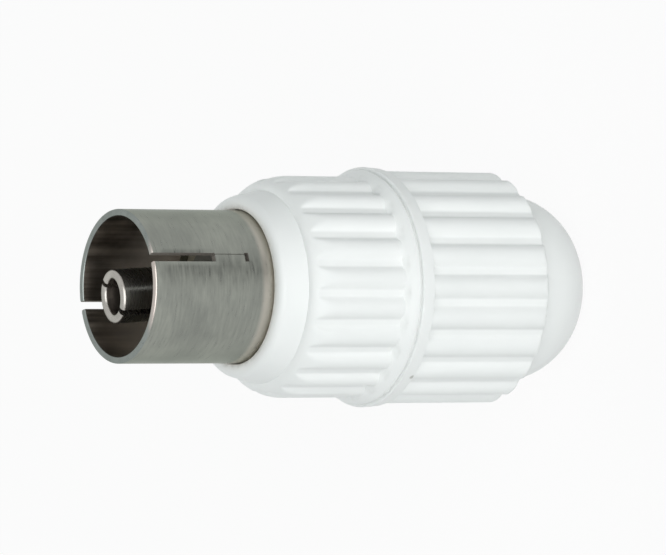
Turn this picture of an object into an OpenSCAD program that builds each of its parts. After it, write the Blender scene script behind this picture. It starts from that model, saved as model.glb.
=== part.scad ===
// Coaxial aerial line socket with a screw-on cable cap.
// It stands on the flat ring round its cable hole, with the mouth up (+Z).
// Stations along the axis are measured from the mouth towards the cable end.
// stand() turns that frame over, so that the mouth comes out on top.

/* [Outer contact] */
// Bore of the sleeve, which takes the mating plug
socket_bore_d = 9.5; // [9.2:0.05:9.8]
// Wall of the sleeve
sleeve_wall = 0.45; // [0.4:0.05:0.6]
// How far the sleeve stands out of the front shell
sleeve_reach = 9.1; // [8.5:0.1:10]
// Depth from the mouth to the step that stops the bead
bead_step_depth = 10; // [9.8:0.1:10.4]
// How far the bore widens at that step
bead_step = 0.15; // [0.1:0.05:0.2]
// Thickness of the flange that locks the sleeve in the front shell
flange_thickness = 0.8; // [0.6:0.1:1.2]
// How far the flange stands out from the sleeve
flange_height = 0.5; // [0.4:0.05:0.6]
// Length of the skirt behind the flange
skirt_length = 9.8; // [9:0.1:10.5]
// Width of the spring slots
slot_width = 0.6; // [0.4:0.05:0.9]
// Length of the open spring slots
slot_length = 4.55; // [3.5:0.05:6]
// Direction of the seam slot
seam_slot_turn = 67.4; // [0:0.2:180]
// Angle from the seam slot to the plain slot
plain_slot_spread = 187; // [170:1:190]
// Gap of the closed seam behind the seam slot
seam_width = 0.08; // [0.04:0.01:0.2]
// Length of the closed seam
seam_length = 2.85; // [1:0.05:3.5]
// How far the closed seam lies from the middle of its slot
seam_aside = 0.2; // [0:0.02:0.2]
// Length of the notch where the seam ends
notch_length = 0.3; // [0.2:0.05:0.5]

/* [Centre contact] */
// Bore of the split tube, which takes the mating pin
pin_bore_d = 2.4; // [2.2:0.05:2.6]
// Outside diameter of the split tube and its shank
contact_d = 3.65; // [3.4:0.05:3.9]
// Depth of the pin bore
pin_bore_depth = 8.3; // [7:0.1:9]
// Width of the slots in the split tube
contact_slot_width = 0.35; // [0.2:0.05:0.5]
// Length of the slots in the split tube
contact_slot_length = 6; // [4:0.1:7]
// Direction of the slots in the split tube
contact_slot_turn = 127; // [0:1:180]
// Diameter of the collar in front of the bead
collar_d = 5.4; // [5:0.1:5.8]
// Thickness of the collar in front of the bead
collar_thickness = 0.55; // [0.4:0.05:0.8]
// Lean of the contact, which lies loose in the bead
contact_lean = 6; // [0:0.1:6.5]
// Direction in which its tip leans
contact_lean_turn = 230; // [0:1:359]
// Depth of the contact's tip below the mouth
contact_tip_depth = 0; // [0:0.02:0.4]
// Overall length of the contact
contact_length = 18.9; // [18.5:0.1:19.5]
// Hole for the cable's inner conductor
wire_hole_d = 1.2; // [1:0.05:1.4]
// Depth of that hole
wire_hole_depth = 5; // [4.5:0.1:5.5]

/* [Terminal screw] */
// Thread diameter of the screw
screw_d = 2; // [1.6:0.1:2.2]
// Diameter of its head
screw_head_d = 3.4; // [3:0.1:3.8]
// Height of its head
screw_head_height = 0.9; // [0.7:0.1:1.1]
// Length of its shank
screw_length = 1.55; // [1.4:0.05:1.8]
// Width of its driver slot
screw_slot_width = 0.4; // [0.3:0.05:0.6]
// Depth of its driver slot
screw_slot_depth = 0.4; // [0.3:0.05:0.5]
// Distance of the screw from the end of the contact
screw_setback = 2.5; // [2.2:0.1:3]
// Direction in which the screw is driven
screw_turn = 50; // [0:1:359]
// Diameter of the screwdriver window in the skirt
window_d = 4.4; // [4:0.1:5]

/* [Bead] */
// Depth from the mouth to the bead's front face
bead_depth = 8; // [7.6:0.1:8.6]
// Length of the bead
bead_length = 5; // [4.5:0.1:5.5]

/* [Front shell] */
// Length of the smooth nose
nose_length = 1.95; // [1.5:0.05:2.5]
// Diameter where the rounded front of the nose ends
nose_d = 12.5; // [12:0.1:12.9]
// Radius of the rounded front of the nose
nose_round = 0.6; // [0.3:0.05:0.7]
// Diameter of the valley behind the nose
valley_d = 13.2; // [13:0.1:13.8]
// Length of the ribbed grip up to the collar
front_grip_length = 7.15; // [6:0.05:9]
// Diameter over the ribs
front_rib_d = 15.2; // [14.8:0.1:15.8]
// Height of the ribs over their grooves
front_rib_height = 0.42; // [0.2:0.02:0.5]
// Length of the round shoulder behind the valley
shoulder_length = 2.1; // [1.2:0.1:3]
// Number of ribs on each grip
rib_count = 22; // [18:1:26]
// Width of the groove floors between ribs
groove_width = 0.6; // [0.3:0.05:0.8]
// Direction of one groove of the front grip
front_groove_turn = 93.1; // [0:0.1:360]
// How far the collar stays inside the cap's rim at the seam
seam_step = 0.2; // [0:0.05:0.3]
// Length of the collar's slope
collar_slope = 0.65; // [0.5:0.05:1.2]
// Width of the collar's land, with its rounded edge
collar_land = 0.25; // [0.2:0.05:0.4]
// How far the grooves run into the collar's slope
groove_runout = 0.2; // [0.1:0.05:0.4]
// Depth from the nose to the seat of the sleeve's flange
flange_seat_depth = 3.4; // [3:0.1:4]
// Length of the threaded spigot
spigot_length = 6.5; // [5.5:0.1:7]
// Wall of the threaded spigot, over the thread
spigot_wall = 0.75; // [0.65:0.05:0.8]

/* [Rear cap] */
// Length of the cap from its rim to the end of the ribs
cap_grip_length = 10.5; // [10:0.05:12]
// Diameter of the cap's rim
rim_d = 16.5; // [16.3:0.1:17.2]
// Length of the plain rim before the grooves
rim_length = 0.95; // [0.8:0.05:2]
// Length over which the rim tapers to the ribs
rim_taper_length = 2.6; // [2.2:0.1:3.5]
// Diameter over the cap's ribs
cap_rib_d = 16.1; // [15.8:0.1:16.5]
// Height of the cap's ribs over their grooves
cap_rib_height = 0.5; // [0.3:0.05:0.6]
// Direction of one groove of the cap
cap_groove_turn = 97.6; // [0:0.1:360]
// Radius of the rounded rib ends
rib_end_round = 0.6; // [0.3:0.05:0.7]
// Diameter of the dome where it leaves the ribs
dome_d = 13; // [12.6:0.1:13.4]
// Radius of the dome's arc
dome_round = 5.1; // [5:0.05:5.2]
// Straight stretch between the ribs and the dome
dome_neck = 0.85; // [0.5:0.05:1]
// Length of the dome's arc along the axis
dome_length = 4.4; // [4.2:0.05:4.5]
// Cable hole
cable_hole_d = 6.8; // [6.2:0.1:7]
// Length of the cable hole's wall
cable_hole_length = 2.6; // [2:0.1:3]
// Length of the cap's threaded bore
thread_bore_length = 7; // [6.9:0.1:7.4]

/* [Cable claw] */
// Bore of the claw, which grips the cable
claw_bore_d = 6.9; // [6.6:0.1:7]
// Outside diameter of the claw
claw_d = 10.9; // [10.4:0.1:11]
// Length of the claw's straight part
claw_body_length = 4.6; // [4:0.1:5]
// Smallest diameter of the claw's cone
claw_tip_d = 7.8; // [7.6:0.1:8.2]
// Height of the gripping ridges in the bore
claw_tooth_height = 0.25; // [0.1:0.05:0.3]
// Number of gripping ridges
claw_tooth_count = 3; // [1:1:4]
// Distance from ridge to ridge
claw_tooth_pitch = 1.1; // [0.8:0.1:1.2]
// Number of slits, one of which goes right through
claw_slit_count = 6; // [4:1:8]
// Width of the slits
claw_slit_width = 0.7; // [0.5:0.05:0.9]
// Length of the closed ring at the front of the claw
claw_ring_length = 2; // [1.5:0.1:2.5]

/* [Fits] */
// Radial gap between the sleeve and the front shell
sleeve_fit = 0.06; // [0.03:0.01:0.1]
// Radial gap between the bead and the sleeve
bead_fit = 0.03; // [0.01:0.01:0.06]
// Least gap between the loose contact and the bead
contact_play = 0.05; // [0.03:0.01:0.1]
// Radial running gap of the thread, drawn as plain cylinders
thread_fit = 0.08; // [0.03:0.01:0.1]
// Radial gap between the terminal screw and its tapped hole
screw_fit = 0.02; // [0.01:0.01:0.05]
// Gap between the collar and the cap at the seam
seam_gap = 0.05; // [0.02:0.01:0.2]
// Gap between the claw and the cap's seat
claw_fit = 0.12; // [0.08:0.01:0.2]
// Gap between the skirt and the claw
claw_gap = 0.3; // [0.2:0.05:0.5]
// Gap between the end of the spigot and the floor of the cap's bore
spigot_gap = 0.4; // [0.3:0.05:0.8]

/* [Finish] */
// Radius of the rounded edges on both sides of the seam
seam_round = 0.12; // [0.05:0.01:0.2]
// Chamfer on the bored edges of the plastic parts
moulded_edge = 0.1; // [0.05:0.01:0.15]
// Chamfer on the edges of the metal parts
metal_edge = 0.1; // [0.05:0.01:0.12]

/* [Hidden] */

// Facets of the drawn circles and arcs
round_facets = 96;
arc_steps = 12;
// Overlap that carries a cut clear of a face
cut = 1;
// How far a rib's own arc stands over the turned crest, so that the two don't just touch
crest_relief = 0.03;

white = "#F2F4F1";
nickel = "#8E9188";
bead_white = "#E9E6DC";
zinc = "#A9ABA8";
brass = "#B59A5B";

// Radii of the outer contact
socket_r = socket_bore_d / 2;
sleeve_r = socket_r + sleeve_wall;
skirt_bore_r = socket_r + bead_step;
flange_r = sleeve_r + flange_height;

// Stations from the mouth
nose_at = sleeve_reach;
valley_at = nose_at + nose_length;
flange_at = nose_at + flange_seat_depth;
skirt_end_at = flange_at + flange_thickness + skirt_length;
collar_at = valley_at + front_grip_length;
collar_face_at = collar_at + collar_slope + collar_land;
spigot_end_at = collar_face_at + spigot_length;
rim_at = collar_face_at + seam_gap;
rib_end_at = rim_at + cap_grip_length;
dome_at = rib_end_at + dome_neck;
overall_length = dome_at + dome_length;
thread_floor_at = max(rim_at + thread_bore_length, spigot_end_at + spigot_gap);
claw_at = skirt_end_at + claw_gap;
claw_cone_at = claw_at + claw_body_length;
hole_at = overall_length - cable_hole_length;
claw_end_at = hole_at - claw_gap;
bead_end_at = bead_depth + bead_length;
bead_middle = bead_depth + bead_length / 2;

// Radii of the shells
shell_bore_r = sleeve_r + sleeve_fit;
flange_bore_r = flange_r + sleeve_fit;
spigot_r = flange_bore_r + spigot_wall;
thread_bore_r = spigot_r + thread_fit;
valley_r = valley_d / 2;
front_rib_r = front_rib_d / 2;
rim_r = rim_d / 2;
seam_collar_r = rim_r - seam_step;
cap_rib_r = cap_rib_d / 2;
cable_hole_r = cable_hole_d / 2;
dome_centre_r = dome_d / 2 - dome_round;
dome_end_angle = asin(dome_length / dome_round);

// Sizes of the contact and its seat
contact_r = contact_d / 2;
contact_end_at = contact_tip_depth + contact_length;
collar_play = (collar_d / 2) * sin(contact_lean) + contact_play;
collar_end_at = bead_depth - collar_play;
bead_hole_r = contact_r / cos(contact_lean) + (bead_length / 2) * tan(contact_lean) + contact_play;
screw_at = contact_end_at - screw_setback;
screw_r = screw_d / 2;
wire_hole_r = wire_hole_d / 2;

// Sizes of the claw and the cap's seat for it
claw_r = claw_d / 2;
claw_tip_r = claw_tip_d / 2;
claw_bore_r = claw_bore_d / 2;
claw_seat_slope = atan2(claw_r - claw_tip_r, claw_end_at - claw_cone_at);
// Axial shift that leaves the claw's gap square to its cone
claw_seat_shift = claw_fit / sin(claw_seat_slope);

// Points on an arc, given as [radius, station]
function arc(centre, radius, from, to) =
    [for (i = [0 : arc_steps])
        let (a = from + (to - from) * i / arc_steps)
        centre + radius * [cos(a), sin(a)]];

// Quarter of an ellipse that climbs from low to high and levels out
function shoulder(low, high) =
    [for (i = [0 : arc_steps])
        let (a = 90 * i / arc_steps)
        [low[0] + (high[0] - low[0]) * sin(a), high[1] - (high[1] - low[1]) * cos(a)]];

// Distance from the axis to the centre of a rib's arc, which meets the crest and the groove floors
function rib_centre(crest, floor_r) =
    let (half = 180 / rib_count - (groove_width / 2) / floor_r * 180 / PI)
    (crest * crest - floor_r * floor_r) / (2 * (crest - floor_r * cos(half)));

// Turns the mouth frame over, so that the cable end stands on the ground
module stand() {
    translate([0, 0, overall_length])
        rotate([180, 0, 0])
            children();
}

// Turns a closed section, given as [radius, station] points, round the axis
module turned(section) {
    rotate_extrude($fn = round_facets)
        polygon(section);
}

// A flat cutter that reaches out from the axis to one side, moved aside from the middle where asked
module side_cut(turn, width, reach, from, to, aside = 0) {
    rotate([0, 0, turn])
        translate([0, aside - width / 2, from])
            cube([reach, width, to - from]);
}

// The grooves between half-round ribs, from one station to another
module grooves(rib_r, rib_height, turn, from, to) {
    crest = rib_r + crest_relief;
    floor_r = rib_r - rib_height;
    centre = rib_centre(crest, floor_r);
    translate([0, 0, from])
        linear_extrude(height = to - from)
            difference() {
                circle(r = rib_r + cut, $fn = round_facets);
                circle(r = floor_r, $fn = round_facets);
                for (i = [0 : rib_count - 1])
                    rotate(turn + (i + 0.5) * 360 / rib_count)
                        translate([centre, 0])
                            circle(r = crest - centre, $fn = round_facets / 2);
            }
}

// Places what belongs to the loose contact at its lean, about the middle of the bead
module leaning() {
    translate([0, 0, bead_middle])
        rotate(a = contact_lean, v = [sin(contact_lean_turn), -cos(contact_lean_turn), 0])
            translate([0, 0, -bead_middle])
                children();
}

// Places what lies on the terminal screw's axis, which runs out along +Z
module on_screw_axis() {
    rotate([0, 0, screw_turn])
        translate([0, 0, screw_at])
            rotate([0, 90, 0])
                children();
}

// Moulded front shell: nose, ribbed grip, collar and threaded spigot
module front_shell() {
    nose_r = nose_d / 2;
    section = concat(
        [[shell_bore_r + moulded_edge, nose_at]],
        arc([nose_r - nose_round, nose_at + nose_round], nose_round, -90, 0),
        shoulder([valley_r, valley_at], [front_rib_r, valley_at + shoulder_length]),
        [
            [front_rib_r, collar_at],
            [seam_collar_r, collar_at + collar_slope]
        ],
        arc([seam_collar_r - seam_round, collar_face_at - seam_round], seam_round, 0, 90),
        [
            [spigot_r, collar_face_at],
            [spigot_r, spigot_end_at - moulded_edge],
            [spigot_r - moulded_edge, spigot_end_at],
            [flange_bore_r, spigot_end_at],
            [flange_bore_r, flange_at],
            [shell_bore_r, flange_at],
            [shell_bore_r, nose_at + moulded_edge]
        ]);
    color(white)
        stand()
            difference() {
                turned(section);
                grooves(front_rib_r, front_rib_height, front_groove_turn,
                    valley_at, collar_at + groove_runout);
            }
}

// Rolled outer contact: slotted sleeve, flange and skirt
module outer_contact() {
    section = [
        [socket_r + metal_edge, 0],
        [sleeve_r - metal_edge, 0],
        [sleeve_r, metal_edge],
        [sleeve_r, flange_at],
        [flange_r, flange_at],
        [flange_r, flange_at + flange_thickness],
        [sleeve_r, flange_at + flange_thickness],
        [sleeve_r, skirt_end_at],
        [skirt_bore_r, skirt_end_at],
        [skirt_bore_r, bead_step_depth],
        [socket_r, bead_step_depth],
        [socket_r, metal_edge]
    ];
    seam_end = slot_length + seam_length;
    color(nickel)
        stand()
            difference() {
                turned(section);
                side_cut(seam_slot_turn, slot_width, sleeve_r + cut, -cut, slot_length);
                side_cut(seam_slot_turn + plain_slot_spread, slot_width, sleeve_r + cut, -cut, slot_length);
                side_cut(seam_slot_turn, seam_width, sleeve_r + cut,
                    slot_length - notch_length, seam_end - notch_length / 2, -seam_aside);
                side_cut(seam_slot_turn, slot_width, sleeve_r + cut, seam_end - notch_length, seam_end);
                leaning()
                    on_screw_axis()
                        cylinder(d = window_d, h = flange_r + cut, $fn = round_facets / 2);
            }
}

// Bead that holds the centre contact in the sleeve
module insulator() {
    section = [
        [bead_hole_r, bead_depth],
        [socket_r - bead_fit, bead_depth],
        [socket_r - bead_fit, bead_step_depth],
        [skirt_bore_r - bead_fit, bead_step_depth],
        [skirt_bore_r - bead_fit, bead_end_at],
        [bead_hole_r, bead_end_at]
    ];
    color(bead_white)
        stand()
            turned(section);
}

// Centre contact: split tube, collar, shank and wire hole
module centre_contact() {
    pin_r = pin_bore_d / 2;
    tip = contact_tip_depth;
    pin_bore_end = tip + pin_bore_depth;
    wire_hole_at = contact_end_at - wire_hole_depth;
    section = [
        [pin_r + metal_edge, tip],
        [contact_r - metal_edge, tip],
        [contact_r, tip + metal_edge],
        [contact_r, collar_end_at - collar_thickness],
        [collar_d / 2, collar_end_at - collar_thickness],
        [collar_d / 2, collar_end_at],
        [contact_r, collar_end_at],
        [contact_r, contact_end_at - metal_edge],
        [contact_r - metal_edge, contact_end_at],
        [wire_hole_r, contact_end_at],
        [wire_hole_r, wire_hole_at],
        [0, wire_hole_at],
        [0, pin_bore_end],
        [pin_r, pin_bore_end],
        [pin_r, tip + metal_edge]
    ];
    color(nickel)
        stand()
            leaning()
                difference() {
                    turned(section);
                    for (side = [0, 180])
                        side_cut(contact_slot_turn + side, contact_slot_width, contact_r + cut,
                            -cut, tip + contact_slot_length);
                    on_screw_axis()
                        cylinder(r = screw_r + screw_fit, h = contact_r + cut, $fn = round_facets / 2);
                }
}

// Cheese-head screw that clamps the inner conductor
module terminal_screw() {
    shank_end = wire_hole_r + screw_fit;
    head_at = shank_end + screw_length;
    head_r = screw_head_d / 2;
    color(zinc)
        stand()
            leaning()
                on_screw_axis()
                    difference() {
                        union() {
                            translate([0, 0, shank_end])
                                cylinder(r = screw_r, h = screw_length, $fn = round_facets / 2);
                            translate([0, 0, head_at])
                                cylinder(r = head_r, h = screw_head_height, $fn = round_facets / 2);
                        }
                        translate([-head_r - cut, -screw_slot_width / 2,
                            head_at + screw_head_height - screw_slot_depth])
                            cube([2 * (head_r + cut), screw_slot_width, screw_slot_depth + cut]);
                    }
}

// Split claw that is squeezed onto the cable by the cap's cone
module cable_claw() {
    tooth_r = claw_bore_r - claw_tooth_height;
    first_tooth = claw_end_at - claw_tooth_count * claw_tooth_pitch;
    section = concat(
        [
            [claw_bore_r, claw_at],
            [claw_r - metal_edge, claw_at],
            [claw_r, claw_at + metal_edge],
            [claw_r, claw_cone_at],
            [claw_tip_r, claw_end_at]
        ],
        [for (i = [claw_tooth_count - 1 : -1 : 0])
            let (from = first_tooth + i * claw_tooth_pitch)
            each [[tooth_r, from + claw_tooth_pitch], [claw_bore_r, from]]]);
    color(brass)
        stand()
            difference() {
                turned(section);
                for (i = [0 : claw_slit_count - 1])
                    side_cut(i * 360 / claw_slit_count, claw_slit_width, claw_r + cut,
                        i == 0 ? claw_at - cut : claw_at + claw_ring_length, claw_end_at + cut);
            }
}

// Moulded rear cap: rim, ribbed grip, dome, threaded bore and seat for the claw
module rear_cap() {
    seat_r = claw_r + claw_fit;
    seat_at = claw_cone_at + claw_seat_shift - claw_fit / tan(claw_seat_slope);
    seat_end_r = seat_r - (hole_at - seat_at) * tan(claw_seat_slope);
    flat_r = dome_centre_r + dome_round * cos(dome_end_angle);
    section = concat(
        [[thread_bore_r + moulded_edge, rim_at]],
        arc([rim_r - seam_round, rim_at + seam_round], seam_round, -90, 0),
        [[cap_rib_r, rim_at + rim_taper_length]],
        arc([cap_rib_r - rib_end_round, rib_end_at - rib_end_round], rib_end_round, 0, 90),
        [[dome_d / 2, rib_end_at]],
        arc([dome_centre_r, dome_at], dome_round, 0, dome_end_angle),
        [
            [cable_hole_r + moulded_edge, overall_length],
            [cable_hole_r, overall_length - moulded_edge],
            [cable_hole_r, hole_at],
            [seat_end_r, hole_at],
            [seat_r, seat_at],
            [seat_r, thread_floor_at],
            [thread_bore_r, thread_floor_at],
            [thread_bore_r, rim_at + moulded_edge]
        ]);
    color(white)
        stand()
            difference() {
                turned(section);
                grooves(cap_rib_r, cap_rib_height, cap_groove_turn,
                    rim_at + rim_length, rib_end_at + cut);
            }
}

front_shell();
outer_contact();
insulator();
centre_contact();
terminal_screw();
cable_claw();
rear_cap();
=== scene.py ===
"""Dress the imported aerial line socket: moulded shells, plated contacts, studio and camera.

Sizes are in millimetres. Stations run along the axis from the mouth to the cable end, and turns
run round it in degrees, both as in the part's drawing. Points reach Blender in metres, in the
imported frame, where the socket stands on its cable end with the mouth up.
"""

import logging
import math
from collections.abc import Callable
from dataclasses import dataclass
from enum import Enum
from functools import cache, partial
from typing import Any, NamedTuple

import bmesh
import bpy
import numpy as np
from bpy.types import Material, Node, NodeSocket, NodeTree, Object, World
from mathutils import Matrix, Vector


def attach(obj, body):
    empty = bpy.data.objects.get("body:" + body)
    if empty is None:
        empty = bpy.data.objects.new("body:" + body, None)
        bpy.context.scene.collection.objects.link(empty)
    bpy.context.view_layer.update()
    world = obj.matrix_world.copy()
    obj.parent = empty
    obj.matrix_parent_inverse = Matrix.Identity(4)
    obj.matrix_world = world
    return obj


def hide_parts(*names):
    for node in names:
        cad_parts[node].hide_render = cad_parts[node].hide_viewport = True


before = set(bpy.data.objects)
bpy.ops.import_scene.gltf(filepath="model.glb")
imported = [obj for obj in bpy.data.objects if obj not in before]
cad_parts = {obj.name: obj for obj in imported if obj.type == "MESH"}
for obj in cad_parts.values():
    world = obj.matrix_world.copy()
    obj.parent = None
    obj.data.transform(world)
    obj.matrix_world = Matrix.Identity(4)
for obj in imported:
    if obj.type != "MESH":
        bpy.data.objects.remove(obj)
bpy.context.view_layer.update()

LOG = logging.getLogger("aerial_socket")
MM = 0.001
OVERALL_LENGTH = 34.9
WHITE = "#FFFFFF"
# Vertex attribute that says how much a spot is darkened in its corner, as gathered dirt and painted shade
CORNER_SHADE_AND_DIRT = "corner_shade_and_dirt"
# Edges that bend by more than this stay crisp
CRISP_ANGLE = math.radians(48)
# Vertices closer together than this, in metres, are welded
WELD = 1e-7
# Rows of a section closer together than this are one row
SAME_ROW = 1e-6
# Directions closer together than this, in degrees, are one direction
SAME_TURN = 1e-3
# Number of mesh cells along the rounded end of a tube's wall
RIM_CELLS = 4

Faces = list[tuple[int, ...]]
Place = tuple[float, float, float]
Pair = tuple[float, float]
Array = np.ndarray
AddNode = Callable[..., Node]


class Body(Enum):
    """The rigid bodies that the pieces ride on."""

    SOCKET = "body"
    CAP = "cap"


def linear(colour: str) -> tuple[float, float, float, float]:
    """Turn an sRGB hex colour into linear RGBA.

    Args:
        colour: Six hex digits after a hash sign.

    Returns:
        Linear red, green and blue, and an alpha of 1.
    """
    channels = [int(colour[i : i + 2], 16) / 255 for i in (1, 3, 5)]
    red, green, blue = (c / 12.92 if c <= 0.04045 else ((c + 0.055) / 1.055) ** 2.4 for c in channels)
    return red, green, blue, 1.0


def add_node(
    tree: NodeTree, kind: str, inputs: dict[str | int, Any] | tuple[Any, ...] = (), **settings: Any
) -> Node:
    """Add a node with its settings, values and links.

    Args:
        tree: Node tree that gets the node.
        kind: Blender's name for the node's type, without its leading ShaderNode.
        inputs: What feeds each input, by key or in the inputs' order: a socket, a node that stands for
            its first output in use, or the input's own value.
        **settings: Properties of the node.

    Returns:
        The new node.
    """
    node = tree.nodes.new("ShaderNode" + kind)
    for name, value in settings.items():
        setattr(node, name, value)
    for key, value in inputs.items() if isinstance(inputs, dict) else enumerate(inputs):
        if isinstance(value, Node):
            value = next(socket for socket in value.outputs if socket.enabled)
        if isinstance(value, NodeSocket):
            tree.links.new(value, node.inputs[key])
        else:
            node.inputs[key].default_value = value
    return node


def start_nodes(owner: Material | World) -> AddNode:
    """Switch on the nodes of a material or a sky, and clear them.

    Args:
        owner: The material or sky.

    Returns:
        What adds a node to it.
    """
    owner.use_nodes = True
    owner.node_tree.nodes.clear()
    return partial(add_node, owner.node_tree)


def to_frame(radii: Array, stations: Array, turns: Array) -> Array:
    """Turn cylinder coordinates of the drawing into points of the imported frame.

    Args:
        radii: Distances from the axis.
        stations: Distances from the mouth.
        turns: Directions round the axis, in degrees.

    Returns:
        Points in metres, with x, y and z in the last dimension.
    """
    angles = np.radians(turns)
    along = OVERALL_LENGTH - stations
    points = np.stack(np.broadcast_arrays(radii * np.cos(angles), -radii * np.sin(angles), along), -1)
    return points * MM


def to_way(turn: float) -> Vector:
    """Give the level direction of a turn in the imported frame."""
    return Vector((math.cos(math.radians(turn)), -math.sin(math.radians(turn)), 0))


def swing(turns: Array, start: Array | float) -> Array:
    """Give the shorter way round from a start to each direction, in degrees."""
    return (turns - start + 180) % 360 - 180


def smooth_max(first: Array, second: Array | float, softness: float) -> Array:
    """Take the larger of two radii, with a change-over that is rounded by the softness."""
    return softness * np.logaddexp(first / softness, second / softness)


def smooth_min(first: Array, second: Array | float, softness: float) -> Array:
    """Take the smaller of two radii, with a change-over that is rounded by the softness."""
    return -smooth_max(-first, -second, softness)


def make_piece(name: str, points: Array, faces: Faces, slots: list[int] | None = None) -> Object:
    """Make a mesh object with outward faces and smooth shading between crisp edges.

    Args:
        name: Name of the piece.
        points: Vertices in metres.
        faces: Vertex numbers of each face.
        slots: Number of each face's material.

    Returns:
        The object, linked to the scene.
    """
    mesh = bpy.data.meshes.new(name)
    mesh.from_pydata(points.reshape(-1, 3).tolist(), [], faces)
    if slots:
        mesh.polygons.foreach_set("material_index", slots)
    work = bmesh.new()
    work.from_mesh(mesh)
    bmesh.ops.remove_doubles(work, verts=work.verts, dist=WELD)
    bmesh.ops.delete(work, geom=[e for e in work.edges if not e.link_faces], context="EDGES")
    bmesh.ops.delete(work, geom=[v for v in work.verts if not v.link_faces], context="VERTS")
    bmesh.ops.recalc_face_normals(work, faces=work.faces)
    work.to_mesh(mesh)
    work.free()
    mesh.shade_smooth()
    mesh.set_sharp_from_angle(angle=CRISP_ANGLE)
    piece = bpy.data.objects.new(name, mesh)
    bpy.context.scene.collection.objects.link(piece)
    return piece


@dataclass(frozen=True)
class Finish:
    """A surface finish; its own class says which nodes draw it."""

    name: str

    @cache
    def make(self) -> Material:
        """Make the material, once for all the pieces that share it.

        Returns:
            The dressed material.
        """
        material = bpy.data.materials.new(self.name)
        add = start_nodes(material)
        place = add("TexCoord").outputs["Object"]
        scaled = add("VectorMath", {0: place, "Scale": 1 / MM}, operation="SCALE")
        add("OutputMaterial", (add("BsdfPrincipled", self.dress(add, scaled)),))
        return material

    def dress(self, add: AddNode, place: Node) -> dict[str, Any]:
        """Add the nodes that draw the finish, and give what feeds the surface shader."""
        raise NotImplementedError


@dataclass(frozen=True)
class MouldedPlastic(Finish):
    """An injection-moulded plastic: an even, softly shiny skin with a faint grain, and dirt and painted shade
    in corners.
    """

    colour: str = "#F5F6F5"
    shade: str = "#EDEFEE"
    # Colour of the dirt specks, and of the dirt and painted shade in corners
    dirt_and_shade: str = "#8F8A80"
    ior: float = 1.53
    specular: float = 0.35
    roughness: float = 0.42
    # How far the roughness strays below and above its middle, and the stretch of noise that does it
    spread: Pair = (0.05, 0.08)
    sheen_noise: Pair = (0.3, 0.7)
    mottle_mm: float = 5.0
    # Size of the blotches of dirt and painted shade, and the stretch of noise from clean to fully darkened
    dirt_and_shade_blotch_mm: float = 0.5
    dirt_and_shade_blotch_noise: Pair = (0.36, 0.68)
    # The mould's spark-eroded grain is about 0.05 mm; it is drawn coarser, so that it shows
    grain_mm: float = 0.22
    grain_depth_mm: float = 0.02
    grain_strength: float = 0.12
    # Centre and radius of single specks of dirt
    specks: tuple[tuple[float, float, float, float], ...] = ()
    speck_share: float = 0.6
    # In radii of a speck: how ragged its outline is, and from where to where it fades
    speck_rag: float = 1.6
    speck_fade: Pair = (1.2, 1.9)

    def dress(self, add: AddNode, place: Node) -> dict[str, Any]:
        """Add a mottled body, dirt and painted shade in corners, single specks and a fine grain.

        Args:
            add: Adds a node to the material.
            place: Place on the piece, in millimetres.

        Returns:
            What feeds the surface shader, by input.
        """
        mottle = add("TexNoise", {"Vector": place, "Scale": 1 / self.mottle_mm, "Detail": 2.0})
        body = add("Mix", {0: mottle, 6: linear(self.shade), 7: linear(self.colour)}, data_type="RGBA")
        # Corners darken towards the dirt colour by the vertex share, broken into blotches: dirt and painted
        # shade
        dirt_and_shade_noise = add("TexNoise", {"Vector": place, "Scale": 1 / self.dirt_and_shade_blotch_mm, "Detail": 4.0})
        blotch = add("MapRange", (dirt_and_shade_noise, *self.dirt_and_shade_blotch_noise, 0.0, 1.0))
        corner_shade_and_dirt = add("Attribute", attribute_name=CORNER_SHADE_AND_DIRT).outputs["Fac"]
        dirt_and_shade_mask = add("Math", (corner_shade_and_dirt, blotch), operation="MULTIPLY")
        for *centre, radius in self.specks:
            apart = add("VectorMath", (place, centre), operation="DISTANCE")
            ragged = add("Math", (dirt_and_shade_noise, self.speck_rag * radius, apart), operation="MULTIPLY_ADD")
            start, end = (radius * fade for fade in self.speck_fade)
            speck = add("MapRange", (ragged, start, end, self.speck_share, 0.0))
            dirt_and_shade_mask = add("Math", (dirt_and_shade_mask, speck), operation="MAXIMUM")
        grain = add("TexNoise", {"Vector": place, "Scale": 1 / self.grain_mm, "Detail": 3.0})
        relief = {"Height": grain, "Strength": self.grain_strength, "Distance": self.grain_depth_mm * MM}
        shiny, dull = self.roughness - self.spread[0], self.roughness + self.spread[1]
        return {
            "Base Color": add("Mix", {0: dirt_and_shade_mask, 6: body, 7: linear(self.dirt_and_shade)}, data_type="RGBA"),
            "Roughness": add("MapRange", (mottle, *self.sheen_noise, shiny, dull)),
            "Normal": add("Bump", relief),
            "IOR": self.ior,
            "Specular IOR Level": self.specular,
        }


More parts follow.
